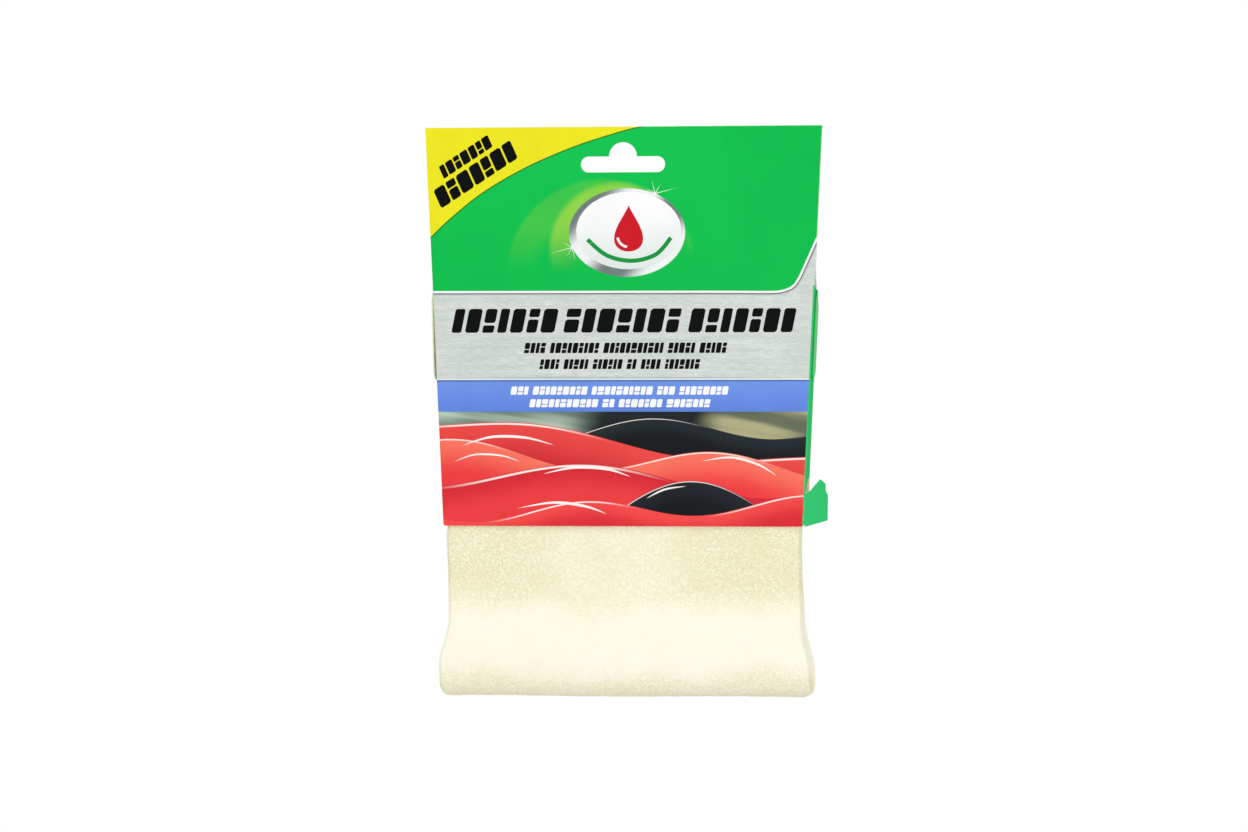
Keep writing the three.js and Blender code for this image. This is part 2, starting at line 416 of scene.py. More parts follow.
def placeBack(side, reach, z, depth, isLeftFlap):
    x, back, turn = roundEdge(reach, halfWidthAt(z) + board, 3 * card["sleeveDepth"])
    if reach <= halfWidthAt(z):
        hasFlap = side > 0 or isLeftFlap
        share = hasFlap * smooth(*flaps["roundTop"], z) * smooth(*flaps["roundFoot"], z)
        x, back, turn = lerp(reach, x, share), back * share, turn * share
    if isLeftFlap:
        x += flaps["leftLean"] * back * lerp(*flaps["leftLeanShare"], smooth(*flaps["leanHeights"], z))
    else:
        x += flaps["rightLean"] * back
    x -= math.sin(turn) * depth
    y = backY - back - math.cos(turn) * depth
    return Vector((side * x, y + bulgeAt(side * reach, z), z))


def placeTab(side, fold, past, z, depth):
    # past is how far past the pivot, on the blank; the tab turns on the inner corner of its crease
    pivotX = halfWidthAt(z) - board
    arc = board * fold
    out = board - depth
    if past <= 0:
        x, y = pivotX + past, frontY + depth
    elif past < arc:
        turn = past / board
        x, y = pivotX + out * math.sin(turn), frontY + board - out * math.cos(turn)
    else:
        far = past - arc
        bent = fold + tabs["curl"] * far
        x = pivotX + far * math.cos(bent) + out * math.sin(bent)
        y = frontY + board + far * math.sin(bent) - out * math.cos(bent)
    return Vector((side * x, y, z))


# Drawing on the blank

def curveThrough(points, steps):
    # a smooth line through all the points
    padded = [points[0]] + points + [points[-1]]
    line = []
    for i in range(len(points) - 1):
        corners = list(zip(*padded[i:i + 4]))
        for t in spread(0, 1, steps)[:-1]:
            line.append(tuple(
                0.5 * (2 * b + (c - a) * t + (2 * a - 5 * b + 4 * c - d) * t * t
                       + (3 * b - a - 3 * c + d) * t ** 3)
                for a, b, c, d in corners))
    return line + [points[-1]]


def curveInto(start, corner, end, steps):
    # a round corner
    return [tuple(lerp(lerp(a, b, t), lerp(b, c, t), t) for a, b, c in zip(start, corner, end))
            for t in spread(0, 1, steps)]


def headings(line):
    # the way that a line heads at each of its points
    ways = []
    for before, after in zip(line[:1] + line, line[1:] + line[-1:]):
        dx, dz = after[0] - before[0], after[1] - before[1]
        size = math.hypot(dx, dz)
        ways.append((dx / size, dz / size))
    return ways


def beside(line, outs):
    # the line moved to its left, by a distance for each point
    return [(x - dz * out, z + dx * out) for (x, z), (dx, dz), out in zip(line, headings(line), outs)]


def ribbon(line, above, below):
    # a stroke along a line, from one distance on its left to another on its right
    return beside(line, [above] * len(line)) + beside(line, [-below] * len(line))[::-1]


def glint(points, width):
    # a bright stroke, thin at both ends
    line = curveThrough(points, 8)
    halves = [width / 2 * math.sin(math.pi * t) for t in spread(0, 1, len(line) - 1)]
    upper, lower = beside(line, halves), beside(line, [-half for half in halves])
    return line[:1] + upper[1:-1] + line[-1:] + lower[-2:0:-1]


def arcLoop(x, z, radius, start, end, steps):
    angles = [math.radians(angle) for angle in spread(start, end, steps)]
    return [(x + radius * math.cos(a), z + radius * math.sin(a)) for a in angles]


def oval(x, z, reachX, reachZ, steps):
    angles = spread(0, 2 * math.pi, steps)[:-1]
    return [(x + reachX * math.cos(a), z + reachZ * math.sin(a)) for a in angles]


def star(x, z, longRay, middleRay, shortRay, notch, tilt):
    sizes = (longRay, notch, shortRay, notch, middleRay, notch, shortRay, notch) * 2
    angles = [math.radians(tilt + k * 22.5) for k in range(16)]
    return [(x + size * math.cos(a), z + size * math.sin(a)) for size, a in zip(sizes, angles)]


def droplet(x, z, width, height):
    sides = [(math.sin(a) * math.sin(a / 2) ** 1.6, math.cos(a)) for a in spread(0, 2 * math.pi, 36)[:-1]]
    return [(x + width / 2 * out, z + height / 2 * up) for out, up in sides]


blocks = {
    "narrowest": 0.8,  # widths run from here, as shares of the pitch
    "widthRange": 0.4,
    "widthStride": 0.618,
    "breakHeights": (0.6, 0.36),  # every third block is broken across
    "cutCorner": 0.14,
}


def inkBlocks(start, length, tall, words, slant, gap, wordGap, tilt=0):
    # a line of plain slanted blocks in place of words
    pitch = (length - wordGap * (len(words) - 1)) / sum(words)
    turn = math.radians(tilt)
    loops, at, count = [], 0.0, int(abs(start[0]))
    for word in words:
        steps = [(count + k) * blocks["widthStride"] % 1 for k in range(word)]
        widths = [blocks["narrowest"] + blocks["widthRange"] * step for step in steps]
        share = word * pitch / sum(widths)
        for width in widths:
            wide = width * share - gap
            breaks = [(0, tall)]
            if count % 3 == 1:
                middle = tall * blocks["breakHeights"][count % 2]
                breaks = [(0, middle - gap / 3), (middle + gap / 3, tall)]
            for foot, top in breaks:
                cut = min(wide, top - foot) * blocks["cutCorner"]
                corners = [(cut, foot), (wide - cut, foot), (wide, foot + cut), (wide, top - cut),
                           (wide - cut, top), (cut, top), (0, top - cut), (0, foot + cut)]
                leaning = [(at + x + z * slant, z) for x, z in corners]
                loops.append([(start[0] + x * math.cos(turn) - z * math.sin(turn),
                               start[1] + x * math.sin(turn) + z * math.cos(turn)) for x, z in leaning])
            at += width * share
            count += 1
        at += wordGap
    return loops


def cutBoard(name, shape, place, thickness):
    # cuts the flat shape into triangles, folds both faces into place and closes the cut edges
    points, edges, loops = [], [], []

    def addLoop(loop):
        area = sum(a[0] * b[1] - b[0] * a[1] for a, b in zip(loop, loop[1:] + loop[:1]))
        loops.append(list(range(len(points), len(points) + len(loop))))
        points.extend(Vector(point) for point in (loop if area > 0 else loop[::-1]))

    addLoop(shape["outline"])
    for hole in shape.get("holes", []):
        addLoop(hole)
    firstZone = len(loops)
    zones = shape.get("zones", [])
    for finish, loop in zones:
        addLoop(loop)
    for line in shape.get("lines", []):
        edges.extend((len(points) + i, len(points) + i + 1) for i in range(len(line) - 1))
        points.extend(Vector(point) for point in line)
    # a grid of points, in rows that are shifted by turns, a hair off the edges of the outline
    (left, right), (low, high) = [(min(values), max(values)) for values in zip(*shape["outline"])]
    step, aside, up = shape["step"], 0.013, 0.017
    for i in range(int((right - left) / step) + 1):
        for k in range(int((high - low) / step) + 1):
            shift = 0.5 * step * (k % 2)
            points.append(Vector((left + i * step + shift + aside, low + k * step + up)))
    cut = geometry.delaunay_2d_cdt(points, edges, loops, 1, 1e-5, True)
    flat, triangles, owners = cut[0], cut[2], cut[5]

    base, inside, edge = shape["base"], shape.get("inside", "boardInside"), shape.get("edge", "boardEdge")
    finishes = sorted({base, inside, edge} | {finish for finish, loop in zones})
    faces, indices = [], []
    for triangle, owner in zip(triangles, owners):
        if 0 in owner and not any(0 < loop < firstZone for loop in owner):
            topmost = max(owner)
            faces.append(tuple(triangle))
            indices.append(finishes.index(zones[topmost - firstZone][0] if topmost >= firstZone else base))
    used = sorted({corner for face in faces for corner in face})
    renumbered = {old: new for new, old in enumerate(used)}
    faces = [tuple(renumbered[corner] for corner in face) for face in faces]
    count = len(used)
    vertices = [place(*flat[i], depth) * mm for depth in (0.0, thickness) for i in used]
    sides = dict.fromkeys((a, b) for face in faces for a, b in zip(face, face[1:] + face[:1]))
    rim = [(a, b) for a, b in sides if (b, a) not in sides]
    allFaces = faces + [tuple(corner + count for corner in reversed(face)) for face in faces]
    allFaces += [(b, a, a + count, b + count) for a, b in rim]
    indices += [finishes.index(inside)] * len(faces)
    isInked = shape.get("inkedEdge", lambda across, along: False)
    for a, b in rim:
        middle = (flat[used[a]] + flat[used[b]]) / 2
        indices.append(finishes.index(base if isInked(*middle) else edge))
    return makeMesh(name, vertices, allFaces, indices, finishes, 40)


def makeMesh(name, vertices, faces, indices, finishes, sharpAngle):
    mesh = bpy.data.meshes.new(name)
    mesh.from_pydata(vertices, [], faces)
    for finish in finishes:
        mesh.materials.append(materials[finish])
    mesh.polygons.foreach_set("material_index", indices)
    shaped = bmesh.new()
    shaped.from_mesh(mesh)
    bmesh.ops.recalc_face_normals(shaped, faces=shaped.faces)
    shaped.to_mesh(mesh)
    shaped.free()
    mesh.polygons.foreach_set("use_smooth", [True] * len(mesh.polygons))
    mesh.set_sharp_from_angle(angle=math.radians(sharpAngle))
    mesh.update()
    return addObject(name, mesh)


# Shared shader effects

def grainEffect(place, given):
    # faint cloudiness of an inked board, and the fibre of the board under its varnish
    return {"Cloud": noiseOver(place, 1.0 / given["Cloud Size"], 3.0),
            "Fibre": noiseOver(place, 1.0 / given["Fibre Size"], 4.0)}


def wearEffect(place, given):
    # where creases and cut edges rub: along both sides, the top and the mouth
    x, y, z = split(place)
    toSide = abs(z * sideSlope + halfWidthAt(0) - abs(x))
    toCrease = greatest(toSide, least(y - frontY, backY - y))
    nearest = least(toCrease, least(card["headerRise"] - z, z - mouthZ))
    rough = noiseOver(place, 0.9, 4.0, 0.6)
    limit = given["Reach"] * (rough * rough)
    return {"Mask": ramped(nearest, limit * 2.4, 0.0) * given["Amount"]}


def crescentEffect(place, given):
    # a soft glow between two discs, the second one shifted
    x, y, z = split(place)

    def inside(centreX, centreZ, soft):
        dx, dz = x - centreX, z - centreZ
        return ramped(compute("SQRT", dx * dx + dz * dz), given["Radius"], given["Radius"] - soft)

    outer = inside(given["Centre X"], given["Centre Z"], given["Softness"])
    inner = inside(given["Centre X"] + given["Shift X"], given["Centre Z"] + given["Shift Z"],
                   given["Softness"] * 3.0)
    return {"Mask": compute("SUBTRACT", outer, inner, clamp=True)}


def waveEffect(place, given):
    # one flowing wave of the picture: what lies under its crest, its bright rim and its depth
    x, y, z = split(place)
    turn = x / given["Length"] * (2 * math.pi) + given["Phase"]
    depth = sine(turn) * given["Swing"] + given["Height"] + x * given["Slope"] - z
    toRim = abs(depth - given["Rim"] * 1.2)
    rim = ramped(toRim, given["Rim"], given["Rim"] * 0.25) * ramped(sine(turn + 0.7), -0.7, 0.8)
    return {"Mask": ramped(depth, -0.15, 0.15), "Rim": rim, "Depth": ramped(depth / given["Fade"], 0.0, 1.0)}


def napEffect(place, given):
    # small crisp flecks of raised fibre, soft clouds and the height of the nap
    fleck = noiseOver(place, 0.8 / given["Fleck Size"], 1.5, distortion=0.9)
    fibre = noiseOver(place, 2.2 / given["Fleck Size"], 2.0, distortion=0.4)
    cloud = noiseOver(place, 1.0 / given["Cloud Size"], 2.0, distortion=0.3)
    return {"Fleck": ramped(fleck, 0.4, 0.58), "Cloud": cloud, "Height": fibre * 0.4 + fleck}


boardGrain = newGroup("boardGrain", grainEffect, {"Cloud Size": 14.0, "Fibre Size": 0.35})
edgeWear = newGroup("edgeWear", wearEffect, {"Reach": 0.35, "Amount": 0.5})
softCrescent = newGroup("softCrescent", crescentEffect, {
    "Centre X": 0.0, "Centre Z": 0.0, "Radius": 20.0, "Shift X": 4.0, "Shift Z": -4.0, "Softness": 3.0})
waveLayer = newGroup("waveLayer", waveEffect, {
    "Height": -120.0, "Slope": 0.0, "Swing": 6.0, "Length": 90.0, "Phase": 0.0, "Rim": 0.6, "Fade": 18.0})
suedeNap = newGroup("suedeNap", napEffect, {"Fleck Size": 0.74, "Cloud Size": 16.0})
print("shader groups made")


# Finishes

inks = {
    "yellowInk": (239, 232, 33),
    "lineInk": (28, 120, 40),
    "whiteInk": (250, 251, 250),
    "shadowInk": (108, 114, 116),
    "fadeInk": (184, 190, 188),
    "deepBlueInk": (76, 98, 170),
    "glintInk": (255, 246, 242),
    "blackInk": (8, 9, 10),
    "redInk": (206, 28, 40),
    "leafInk": (24, 150, 66),
    "paleInk": (233, 240, 232),
    "greyInk": (92, 102, 98),
}
# paler green for the sides and tabs: painted light for the light that their faces catch
sideInk = (56, 200, 114)
varnish = {
    "cloudShade": 0.96,
    "roughness": (0.34, 0.44),
    "wornRoughness": 0.3,
    "bump": (0.12, 0.05),  # strength and height
}
paper = {
    "worn": (246, 244, 236),
    "inside": (253, 250, 228),
    "core": (251, 247, 224),
    "fibreShade": 0.93,
    "roughness": (0.78, 0.92),
    "bump": (0.25, 0.08),
}
glue = {"light": (226, 218, 188), "deep": (206, 196, 158), "roughness": (0.4, 0.6), "bump": (0.3, 0.08)}
silver = {"dark": (191, 201, 195), "light": (227, 231, 226)}
rimMetal = {"dark": (112, 124, 124), "light": (240, 244, 242)}
blueFade = {"top": (112, 150, 233), "foot": (99, 136, 225), "heights": (-90, -101)}
faceFade = {"top": (252, 253, 252), "foot": (226, 234, 230), "heights": (-22, -50)}
green = {
    "top": (10, 197, 80),
    "foot": (4, 190, 76),
    "deeperDown": (6, -60),
    # darker towards the right: painted shade for the key light that comes from the left
    "paintedShadeRight": (5, 65),
    "glowHeights": (-50, -30),
    "glows": [
        ((96, 205, 66), 0.42, {"Centre X": -8.0, "Centre Z": -50.0, "Radius": 37.0, "Shift X": 5.0,
                               "Shift Z": -9.0, "Softness": 2.0}),
        ((168, 222, 72), 0.62, {"Centre X": -3.0, "Centre Z": -40.0, "Radius": 26.0, "Shift X": 6.0,
                                "Shift Z": -5.0, "Softness": 3.0}),
    ],
}
picture = {
    "pale": [(112, 132, 120), (188, 208, 190)],
    "paleBlur": (0.4, 0.62),
    "dark": (30, 36, 38),
    "darkFrom": (28, 46),
    "olive": [(104, 112, 90), (176, 174, 132)],
    "oliveBlur": (0.46, 0.66),
    "oliveFrom": (78, 92),
    "oliveShade": (62, 70, 66),
    "shadeBlur": (0.44, 0.32),
    "shine": (255, 240, 234),
    "inputs": ("Height", "Slope", "Swing", "Length", "Phase", "Rim", "Fade"),
    "waves": [
        ((34, 42, 46), (16, 20, 24), (-108.5, 0.03, 4.6, 96.0, 0.9, 0.2, 8.0)),
        ((236, 74, 70), (196, 30, 44), (-112.5, -0.11, 3.2, 118.0, 3.3, 0.5, 20.0)),
        ((252, 118, 96), (240, 60, 64), (-119.0, -0.05, 4.6, 98.0, 5.6, 0.35, 14.0)),
        ((214, 40, 52), (238, 62, 66), (-126.5, -0.03, 5.4, 134.0, 2.2, 0.6, 12.0)),
        ((30, 36, 42), (14, 18, 22), (-141.5, 0.0, 14.5, 128.0, 0.3, 0.25, 10.0)),
        ((246, 76, 74), (222, 44, 54), (-137.5, 0.03, 3.4, 84.0, 2.6, 0.4, 9.0)),
    ],
}
skin = {
    "nap": (255, 253, 223),
    "fleck": (242, 237, 195),
    "cloud": (250, 246, 209),
    # paler colour of the smoothed nap, partly painted highlight
    "smooth": (254, 252, 236),
    "litBandHeights": (-164, -180),
    "footHeights": (-206, -195),
    "middleReach": (46, 10),
    "middleHeights": (-204, -194),
    "roughness": (0.86, 1.0),
    "sheen": 0.1,
    "sheenRoughness": 0.6,
    "bump": (1.0, -0.5),
}
materials = {}


def newMaterial(name, specular):
    materials[name] = emptyMaterial(name)
    tree = materials[name].node_tree
    shader = addNode(tree, "BsdfPrincipled", {"Specular IOR Level": specular})
    addNode(tree, "OutputMaterial", (Field(shader.outputs[0]),))
    return tree, shader.inputs


def dress(shader, colour, roughness, height, bump):
    relief = {"Strength": bump[0], "Distance": bump[1] * mm, "Height": height}
    feed(shader["Base Color"], colour)
    feed(shader["Roughness"], roughness)
    feed(shader["Normal"], fieldFrom("Bump", relief))


def darkened(colour, share):
    if isinstance(colour, Field):
        return fieldFrom("VectorMath", {0: colour, "Scale": share}, operation="SCALE")
    return (*[value * share for value in colour[:3]], 1.0)


def printed(name, colour, wear=0.4, specular=0.05):
    # varnished ink on board, either of one colour or of one that is worked out over the surface
    tree, shader = newMaterial(name, specular)
    colour = colour(tree) if callable(colour) else ink(colour)
    grain = useGroup(tree, boardGrain)
    worn = useGroup(tree, edgeWear, {"Amount": wear})["Mask"]
    clouded = mixColour(ramped(grain["Cloud"], 0.35, 0.7), colour, darkened(colour, varnish["cloudShade"]))
    rough = worn * varnish["wornRoughness"] + ramped(grain["Cloud"], 0.3, 0.75, *varnish["roughness"])
    dress(shader, mixColour(worn, clouded, ink(paper["worn"])), rough, grain["Fibre"], varnish["bump"])


def greenOver(tree):
    x, y, z = split(placeInMm(tree))
    # darker towards the foot, and darker towards the right as painted shade
    deeper = greatest(ramped(z, *green["deeperDown"]), ramped(x, *green["paintedShadeRight"]))
    base = mixColour(deeper, ink(green["top"]), ink(green["foot"]))
    onFront = ramped(y, 0.1, -0.1) * ramped(z, *green["glowHeights"])
    for colour, amount, values in green["glows"]:
        mask = useGroup(tree, softCrescent, values)["Mask"] * amount
        base = mixColour(mask * onFront, base, ink(colour))
    return base


def fadeOver(tree, fade):
    x, y, z = split(placeInMm(tree))
    return mixColour(ramped(z, *fade["heights"]), ink(fade["top"]), ink(fade["foot"]))


def blueOver(tree):
    return fadeOver(tree, blueFade)


def faceOver(tree):
    return fadeOver(tree, faceFade)


def silverOver(tree):
    # printed brushed metal: long fine streaks from side to side
    place = placeInMm(tree)
    fine = noiseOver(stretched(place, 0.3, 0.0, 2.6), 1.0, 5.0, 0.75)
    broad = noiseOver(stretched(place, 0.03, 0.0, 0.4), 1.0, 3.0, 0.6)
    streak = broad * 0.35 + fine * 0.75
    return mixColour(ramped(streak, 0.38, 0.74), ink(silver["dark"]), ink(silver["light"]))


def rimOver(tree):
    # a printed metal ring, bright at its upper left and dark at its lower right
    x, y, z = split(placeInMm(tree))
    wave = sine(((z - x) * 0.5 + 17.5) * 0.34)
    return mixColour(ramped(wave, -0.9, 0.9), ink(rimMetal["dark"]), ink(rimMetal["light"]))


def pictureOver(tree):
    # flowing glossy waves before a blurred backdrop, pale at the left and olive at the right
    x, y, z = split(placeInMm(tree))
    blur = noiseOver(fieldFrom("CombineXYZ", {0: x * 0.012, 2: x * 0.02 + z * 0.13}), 1.0, 2.0, 0.45)
    left = mixColour(ramped(blur, *picture["paleBlur"]), *[ink(colour) for colour in picture["pale"]])
    right = mixColour(ramped(blur, *picture["oliveBlur"]), *[ink(colour) for colour in picture["olive"]])
    right = mixColour(ramped(blur, *picture["shadeBlur"]), right, ink(picture["oliveShade"]))
    leaning = z * -0.5 + x
    base = mixColour(ramped(leaning, *picture["darkFrom"]), left, ink(picture["dark"]))
    base = mixColour(ramped(leaning, *picture["oliveFrom"]), base, right)
    for light, deep, values in picture["waves"]:
        wave = useGroup(tree, waveLayer, dict(zip(picture["inputs"], values)))
        body = mixColour(wave["Depth"], ink(light), ink(deep))
        body = mixColour(wave["Rim"], body, ink(picture["shine"]))
        base = mixColour(wave["Mask"], base, body)
    return base


def bareBoard(name, colour, fibre):
    tree, shader = newMaterial(name, 0.2)
    grain = useGroup(tree, boardGrain, {"Cloud Size": 5.0, "Fibre Size": fibre})
    deeper = [value * paper["fibreShade"] for value in colour]
    base = mixColour(ramped(grain["Fibre"], 0.35, 0.7), ink(colour), ink(deeper))
    dress(shader, base, ramped(grain["Cloud"], 0.3, 0.7, *paper["roughness"]), grain["Fibre"], paper["bump"])


def dryGlue():
    tree, shader = newMaterial("dryGlue", 0.3)
    grain = useGroup(tree, boardGrain, {"Cloud Size": 3.0, "Fibre Size": 0.8})
    base = mixColour(ramped(grain["Cloud"], 0.3, 0.7), ink(glue["light"]), ink(glue["deep"]))
    dress(shader, base, ramped(grain["Cloud"], 0.3, 0.7, *glue["roughness"]), grain["Fibre"], glue["bump"])


def chamoisSkin():
    # rough nap, rubbed smoother and paler where the bulge stands out and a little in the middle; over the
    # bulge the paler colour is partly smoothed nap, partly painted highlight where it faces the light
    tree, shader = newMaterial("chamoisSkin", 0.1)
    shader["Sheen Weight"].default_value = skin["sheen"]
    shader["Sheen Roughness"].default_value = skin["sheenRoughness"]
    nap = useGroup(tree, suedeNap)
    place = placeInMm(tree)
    x, y, z = split(place)
    z = (noiseOver(place, 0.045, 3.0, 0.55) - 0.5) * 16.0 + z
    # the band over the bulge: smoother nap, paler as painted highlight; 0.6 of it stays down to the foot as
    # painted light against the shade under the fold
    band = ramped(z, *skin["litBandHeights"]) * ramped(z, *skin["footHeights"], 0.6, 1.0)
    middle = ramped(abs(x + 4), *skin["middleReach"], 0, 0.45) * ramped(z, *skin["middleHeights"])
    rubbedAndLit = greatest(band, middle)
    flat = rubbedAndLit * ramped(z, *skin["footHeights"], 0.45, 1.0)
    base = mixColour(ramped(nap["Cloud"], 0.35, 0.68), ink(skin["nap"]), ink(skin["cloud"]))
    base = mixColour(rubbedAndLit * 0.85, base, ink(skin["smooth"]))
    base = mixColour(nap["Fleck"] * (flat * -0.84 + 1.0), base, ink(skin["fleck"]))
    raised = nap["Height"] * (flat * -0.75 + 1.0)
    dress(shader, base, ramped(nap["Fleck"], 0.0, 1.0, *skin["roughness"]), raised, skin["bump"])


for name, colour in inks.items():
    printed(name, colour)
printed("sideInk", sideInk, specular=0.0)
printed("greenInk", greenOver, 0.5, 0.08)
printed("blueInk", blueOver, 0.5, 0.08)
printed("silverInk", silverOver, 0.5, 0.2)
printed("badgeRim", rimOver, 0.5, 0.2)
printed("badgeFace", faceOver, 0.4, 0.08)
printed("pictureInk", pictureOver, 0.4, 0.08)
bareBoard("boardInside", paper["inside"], 0.5)
bareBoard("boardEdge", paper["core"], 0.25)
dryGlue()
chamoisSkin()
print("finishes made")


# The print of the front

front = {
    "cornerArc": [(-78.0, -40.4), (-72.6, -34.8), (-64.9, -27.6), (-52.8, -18.2), (-36.2, -8.8),
                  (-18.0, -1.2), (-1.7, 3.9), (6.8, 6.0), (12.0, 7.2)],
    "cornerLine": 0.45,
    "bandLine": [(-80.0, -55.95), (30.0, -56.1), (54.0, -56.25), (60.2, -55.85), (64.1, -54.2),
                 (66.2, -51.45), (67.65, -48.55), (71.15, -40.75), (77.1, -27.45)],
    "lineAbove": 0.3,
    "lineBelow": 0.5,
    "shadowEnd": 0.4,
    "fadeEnd": 0.85,
    "leftWrap": 0.3,
    "rightMargin": 0.6,
    "bandFoot": -89.2,
    "blueTop": -89.7,
    "blueFoot": -101.1,
    "glints": [
        ([(-61.0, -113.8), (-50.0, -110.6), (-37.0, -110.8), (-26.0, -113.6)], 1.0),
        ([(-64.0, -119.8), (-56.0, -117.2), (-46.0, -117.6), (-39.0, -119.8)], 0.7),
        ([(-30.0, -124.4), (-18.0, -122.0), (-6.0, -122.6), (3.0, -125.4)], 1.1),
        ([(30.0, -119.6), (41.0, -118.2), (51.0, -120.8), (58.0, -125.0)], 0.9),
        ([(-40.0, -137.4), (-26.0, -135.2), (-14.0, -136.6), (-6.0, -139.4)], 1.0),
        ([(9.0, -133.6), (16.0, -130.2), (24.0, -129.0)], 0.7),
    ],
    # ink, start, length, height, blocks in each word, slant, gap, gap between words, tilt
    "words": [
        ("blackInk", (-65.2, -71.4), 40.6, 9.0, [7], 0.2, 1.35, 0.0),
        ("blackInk", (-22.6, -71.4), 44.6, 9.0, [7], 0.2, 1.35, 0.0),
        ("blackInk", (24.6, -71.4), 40.6, 9.0, [7], 0.2, 1.35, 0.0),
        ("blackInk", (-37.5, -79.1), 76.8, 3.9, [4, 9, 11, 5, 5], 0.18, 0.42, 1.5),
        ("blackInk", (-31.6, -85.1), 60.8, 3.7, [4, 5, 6, 2, 4, 7], 0.18, 0.42, 1.5),
        ("whiteInk", (-42.6, -94.7), 82.6, 3.1, [3, 9, 10, 3, 8], 0.18, 0.4, 1.4),
        ("whiteInk", (-35.4, -99.4), 68.6, 3.0, [11, 2, 7, 7], 0.18, 0.4, 1.4),
        ("blackInk", (-68.0, -13.4), 22.6, 4.9, [7], 0.15, 0.5, 0.0, 33),
        ("blackInk", (-69.0, -24.6), 35.4, 7.4, [7], 0.15, 0.7, 0.0, 33),
    ],
}
badge = {
    "centre": (1.6, -33.9),
    "reach": (22.0, 16.6),
    "rimWidth": 2.1,
    "stroke": [(-15.0, -2.6), (-7.5, -8.6), (2.0, -10.6), (11.0, -8.2), (16.6, -2.0)],
    "strokeHalf": 0.8,
    "drop": (0.6, 1.6),
    "dropSize": (16.0, 17.5),
    "shine": (0.6, -1.2),
    "shineRadius": 4.2,
    "shineAngles": (190, 262),
    "shineHalf": 0.45,
    "sparkles": [(-20.8, -5.6), (10.6, 14.6)],
    "sparkleRays": (8.6, 5.332, 4.2),
    "sparkleNotch": 0.35,
    "sparkleTilt": 14,
}


def badgeZones():
    x, z = badge["centre"]
    wide, tall = badge["reach"]
    rim, half = badge["rimWidth"], badge["strokeHalf"]

    def fromCentre(point):
        return x + point[0], z + point[1]

    stroke = curveThrough([fromCentre(point) for point in badge["stroke"]], 8)
    shine = arcLoop(*fromCentre(badge["shine"]), badge["shineRadius"], *badge["shineAngles"], 14)
    zones = [
        ("badgeRim", oval(x, z, wide, tall, 72)),
        ("badgeFace", oval(x + 0.3 * rim, z + 0.35 * rim, wide - rim, tall - rim, 72)),
        ("leafInk", ribbon(stroke, half, half)),
        ("redInk", droplet(*fromCentre(badge["drop"]), *badge["dropSize"])),
        ("whiteInk", ribbon(shine, badge["shineHalf"], badge["shineHalf"])),
    ]
    for spot in badge["sparkles"]:
        rays = (*badge["sparkleRays"], badge["sparkleNotch"])
        zones.append(("whiteInk", star(*fromCentre(spot), *rays, badge["sparkleTilt"])))
    return zones


def fieldBetween(topZ, footZ):
    left, right = front["leftWrap"], front["rightMargin"]
    top, foot = halfWidthAt(topZ), halfWidthAt(footZ)
    return [(-foot - left, footZ), (foot - right, footZ), (top - right, topZ), (-top - left, topZ)]


def frontZones():
    corner = curveThrough(front["cornerArc"], 10)
    band = curveThrough(front["bandLine"], 8)
    low, high = front["bandFoot"], card["gussetTop"]
    above, below, shadow = front["lineAbove"], front["lineBelow"], front["shadowEnd"]
    footLeft, footRight, topRight, topLeft = fieldBetween(high, low)
    bandBack = [point for point in band[-2::-1] if point[0] > topLeft[0] + 0.05]
    zones = [
        ("yellowInk", corner + [(9.0, headerStart), (-80.0, headerStart), (-80.0, -39.6)]),
        ("lineInk", ribbon(corner, 0.0, front["cornerLine"])),
        ("silverInk", [footLeft, footRight, topRight, (80.0, high), band[-1], *bandBack,
                       (topLeft[0], band[0][1])]),
        ("whiteInk", ribbon(band, above, below)),
        ("shadowInk", ribbon(band, -below, below + shadow)),
        ("fadeInk", ribbon(band, -below - shadow, below + front["fadeEnd"])),
        ("paleInk", fieldBetween(low + 0.6, low)),
        ("blueInk", fieldBetween(low, front["blueFoot"])),
        ("deepBlueInk", fieldBetween(low, front["blueTop"])),
        ("pictureInk", fieldBetween(front["blueFoot"], mouthZ - 0.5)),
    ]
    zones += [("glintInk", glint(points, width)) for points, width in front["glints"]]
    for finish, *line in front["words"]:
        zones += [(finish, loop) for loop in inkBlocks(*line)]
    return zones + badgeZones()


# The print of the back, laid out as it is seen from behind, and of the sides

back = {
    "panel": (-54.0, -74.5, 54.0, -128.5),
    "panelCorner": 4.0,
    "icons": [-36.0, 0.0, 36.0],
    "iconZ": -86.0,
    "iconRadius": 7.0,
    "iconDrop": (7.5, 8.5),
    "rows": 8,
    "rowStart": -48.0,
    "rowTop": -100.0,
    "rowPitch": 3.5,
    "rowLength": 96.0,
    "rowUneven": 13.0,
    "lastRowShort": 34.0,
    "rowHeight": 1.5,
    "rowGap": 0.5,
    "rowWordGap": 1.3,
    "rowWords": [[5, 8, 3, 9, 6, 7], [7, 4, 10, 5, 9], [3, 9, 6, 6, 8, 4]],
}
barePatch = [(-86.5, 1.5), (-87.0, 6.0), (-83.6, 10.1), (-59.8, 10.1), (-57.0, 6.8), (-60.5, 1.5)]


